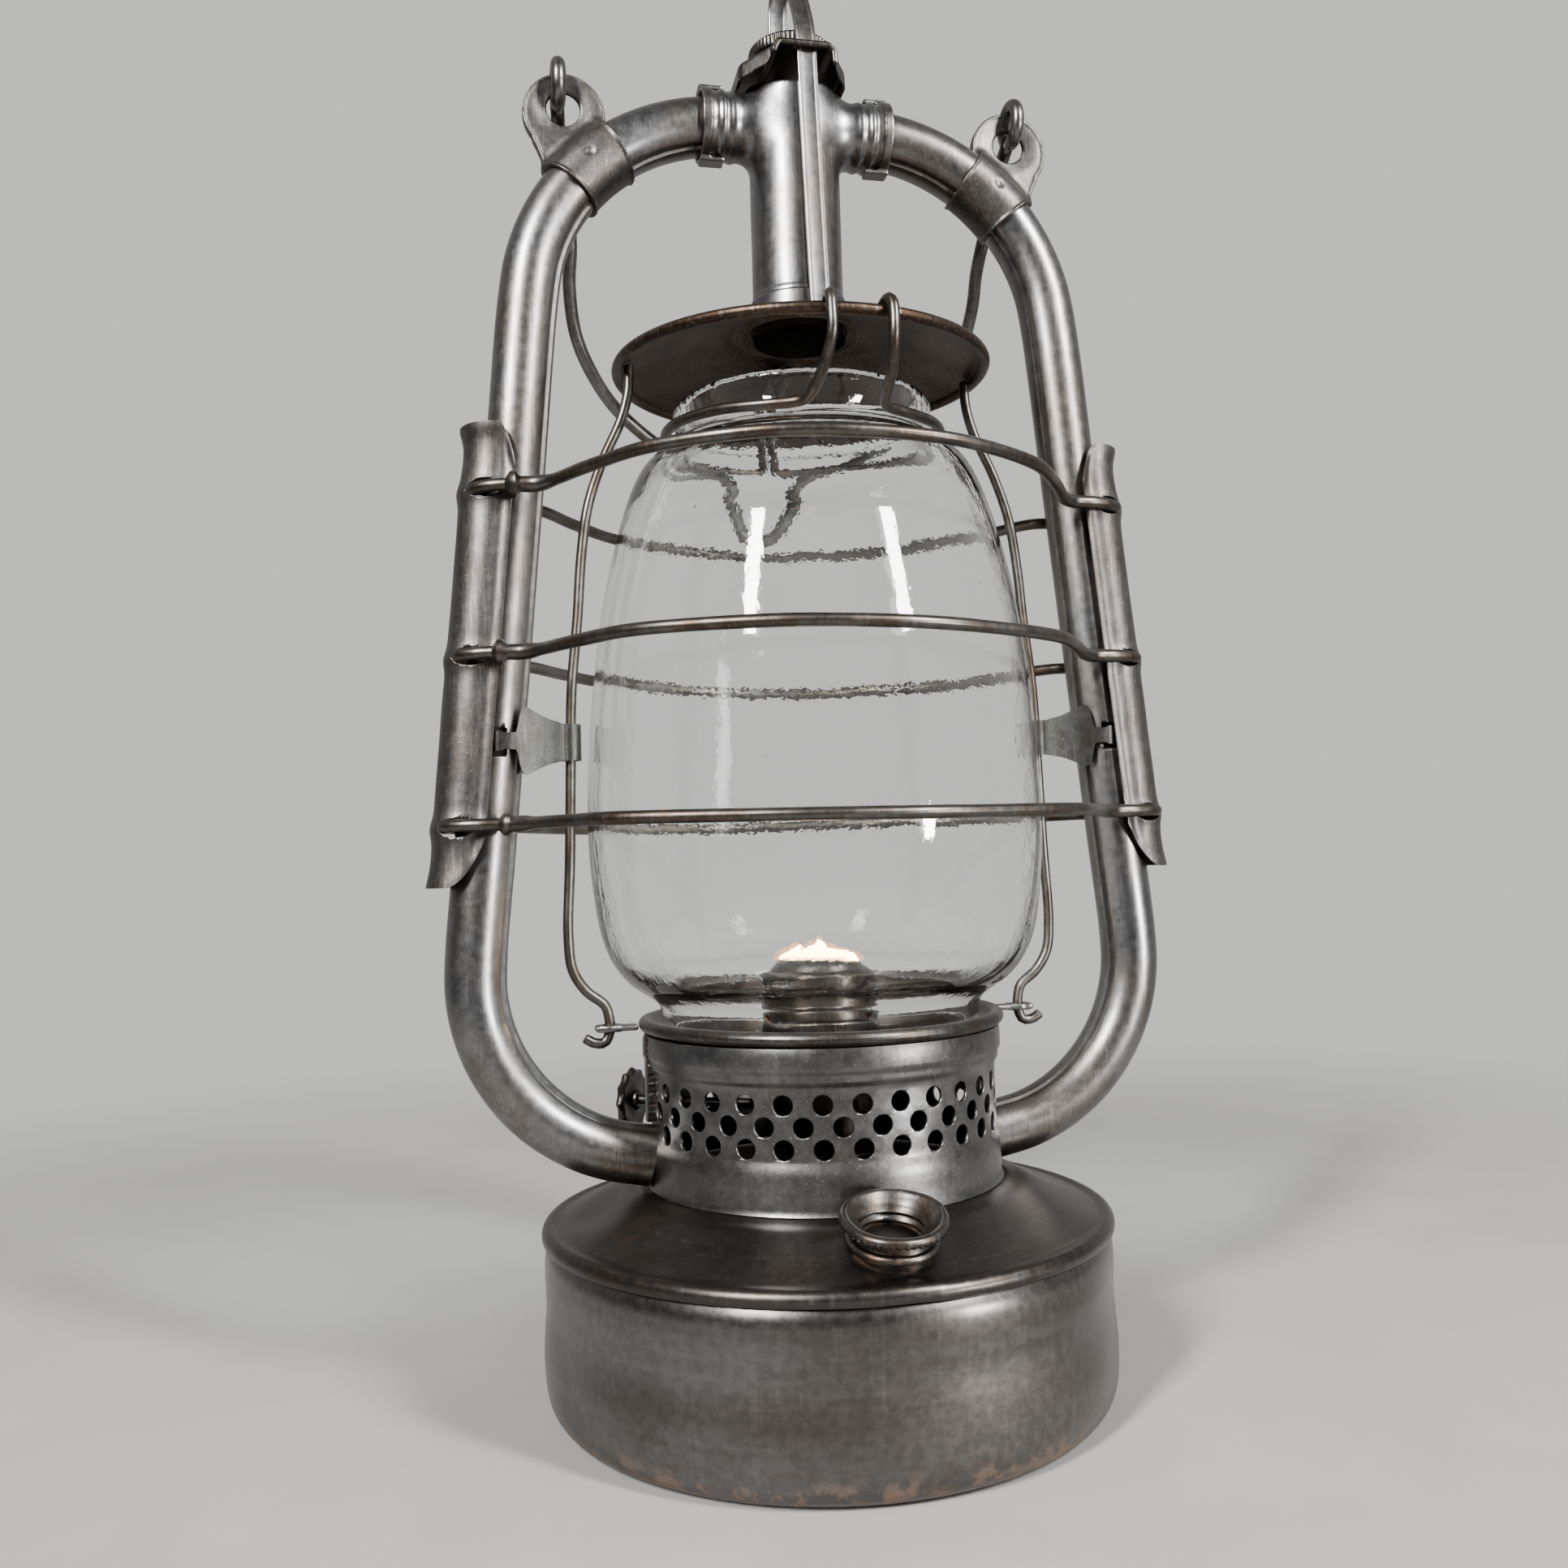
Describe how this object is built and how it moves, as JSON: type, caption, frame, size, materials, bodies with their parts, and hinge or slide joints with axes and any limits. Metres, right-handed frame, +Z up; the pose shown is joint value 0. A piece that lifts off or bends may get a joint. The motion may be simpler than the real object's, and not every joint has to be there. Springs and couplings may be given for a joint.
{
  "type": "hanging oil lantern",
  "caption": "Tubular steel oil lantern: a round tank and wick burner, a lifting glass globe in a wire guard, hot-air tubes and a wire bail to hang it by.",
  "frame": {"origin": "centre of the foot's bottom face, on the surface the lantern stands on", "axes": "+Z up; -Y is the front, with the filler neck; +X is the lantern's right-hand tube as seen from the front"},
  "size_m": [0.2032, 0.1486, 0.389],
  "materials": {
    "burnished_steel": "bare steel, worn and burnished, with brown in the seams",
    "dark_steel": "dark oiled steel with a brown cast",
    "wire_steel": "polished dark steel wire",
    "rusted_steel": "steel with rust-brown patina inside its threads",
    "burner_steel": "heat-browned steel",
    "glass": "clear old blown glass, slightly wavy",
    "cotton": "woven flat cotton wick, charred at the top"
  },
  "bodies": {
    "frame": {"tank_body": "burnished_steel", "tank_top": "dark_steel", "filler_neck": "rusted_steel", "air_band": "burnished_steel", "burner_collar": "burner_steel", "burner_body": "burner_steel", "burner_cone": "burner_steel", "wick_tube": "burner_steel", "chimney_tee": "burnished_steel", "arm_band_right": "burnished_steel", "arm_band_left": "burnished_steel", "rain_cap": "dark_steel", "vent_lid": "dark_steel", "air_tube_right": "burnished_steel", "air_tube_left": "burnished_steel", "bail_ear_right": "burnished_steel", "bail_ear_left": "burnished_steel", "shield_right": "burnished_steel", "shield_left": "burnished_steel", "guide_clip_right": "burnished_steel", "guide_clip_left": "burnished_steel", "guard_wire_top": "wire_steel", "guard_wire_middle": "wire_steel", "guard_wire_bottom": "wire_steel"},
    "globe_lift": {"globe_plate": "dark_steel", "globe": "glass", "hood": "dark_steel", "hood_collar": "burnished_steel", "lift_strip": "burnished_steel", "neck_wire_right": "wire_steel", "neck_wire_left": "wire_steel", "side_wire_right": "wire_steel", "side_wire_left": "wire_steel"},
    "bail": {"bail": "wire_steel"},
    "wick_wheel": {"wick_shaft": "burner_steel", "wick_knob": "dark_steel"},
    "wick": {"wick": "cotton"}
  },
  "joints": [
    {"name": "globe_lift", "type": "slide", "parent": "frame", "child": "globe_lift", "axis": [0, 0, 1], "range_m": [0, 0.028]},
    {"name": "bail_swing", "type": "hinge", "parent": "frame", "child": "bail", "pos_m": [0, 0, 0.34675], "axis": [1, 0, 0], "range_deg": [0, 297]},
    {"name": "wick_turn", "type": "hinge", "parent": "frame", "child": "wick_wheel", "pos_m": [0.00327, 0.00503, 0.072], "axis": [-0.8387, 0.5446, 0], "range_deg": [-60, 90]},
    {"name": "wick_rise", "type": "slide", "parent": "frame", "child": "wick", "axis": [0, 0, 1], "range_m": [-0.004, 0.006]}
  ],
  "couplings": [
    {"joint": "wick_rise", "follows": "wick_turn", "m_per_rad": 0.0038}
  ]
}
